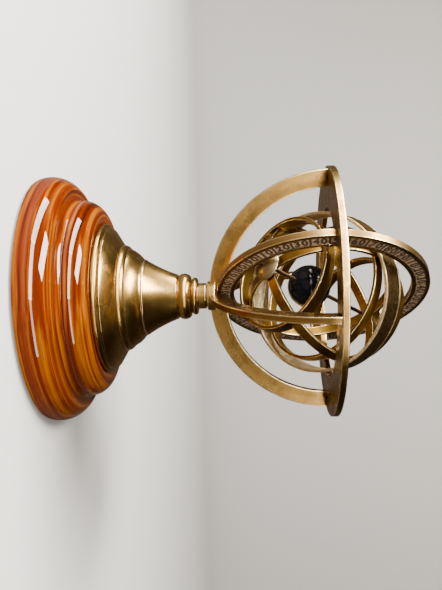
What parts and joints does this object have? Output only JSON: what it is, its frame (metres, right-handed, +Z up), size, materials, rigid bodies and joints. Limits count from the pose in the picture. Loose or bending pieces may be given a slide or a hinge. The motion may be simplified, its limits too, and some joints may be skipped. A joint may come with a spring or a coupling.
{
  "type": "armillary sphere",
  "caption": "Tabletop armillary sphere: hooped globe spinning on a tilted axis in a graduated ring, held by a half-ring cradle and horizon ring on a brass and wood pedestal.",
  "frame": {"origin": "middle of the underside, on the stand's axis", "axes": "+Z up; the cradle's half rings lie along X and Y; the meridian ring stands upright on bearing 229 degrees from +X"},
  "size_m": [0.074, 0.074, 0.1135],
  "materials": {
    "brass_turned": "lathe-turned satin with an aged tint",
    "brass_ring": "satin with an aged brown tint and bright rims",
    "brass_cap": "satin",
    "brass_engraved": "satin with a dark engraved scale",
    "brass_zodiac": "stippled brown with bright edges",
    "wood_lacquer": "high-gloss red-brown lacquer",
    "felt": "dark green felt",
    "steel": "plain",
    "earth_ball": "opaque near-black, polished"
  },
  "bodies": {
    "stand": {"felt_pad": "felt", "wood_base": "wood_lacquer", "tie_rod": "steel", "base_washer": "steel", "base_nut": "steel", "pedestal_foot": "brass_turned", "pedestal_cone": "brass_turned", "neck_knob": "brass_turned", "cradle_boss": "brass_turned", "cradle_arm_side": "brass_ring", "cradle_arm_front": "brass_ring", "horizon_ring": "brass_ring"},
    "meridian": {"meridian_ring": "brass_engraved", "axis_rod": "brass_cap", "north_spacer": "brass_cap", "south_spacer": "brass_cap"},
    "globe": {"north_cap": "brass_cap", "south_cap": "brass_cap", "solstice_colure": "brass_ring", "equinox_colure": "brass_ring", "equator_ring": "brass_ring", "north_tropic": "brass_ring", "south_tropic": "brass_ring", "zodiac_band": "brass_zodiac"},
    "earth": {"earth_ball": "earth_ball"}
  },
  "joints": [
    {"name": "meridian_turn", "type": "hinge", "parent": "stand", "child": "meridian", "pos_m": [0, 0, 0.0821], "axis": [-0.7547, 0.6561, 0], "continuous": true},
    {"name": "globe_spin", "type": "hinge", "parent": "meridian", "child": "globe", "pos_m": [0, 0, 0.0821], "axis": [0.4639, 0.5337, 0.7071], "continuous": true},
    {"name": "earth_slide", "type": "slide", "parent": "meridian", "child": "earth", "axis": [0.4639, 0.5337, 0.7071], "range_m": [-0.009, 0.02]}
  ]
}
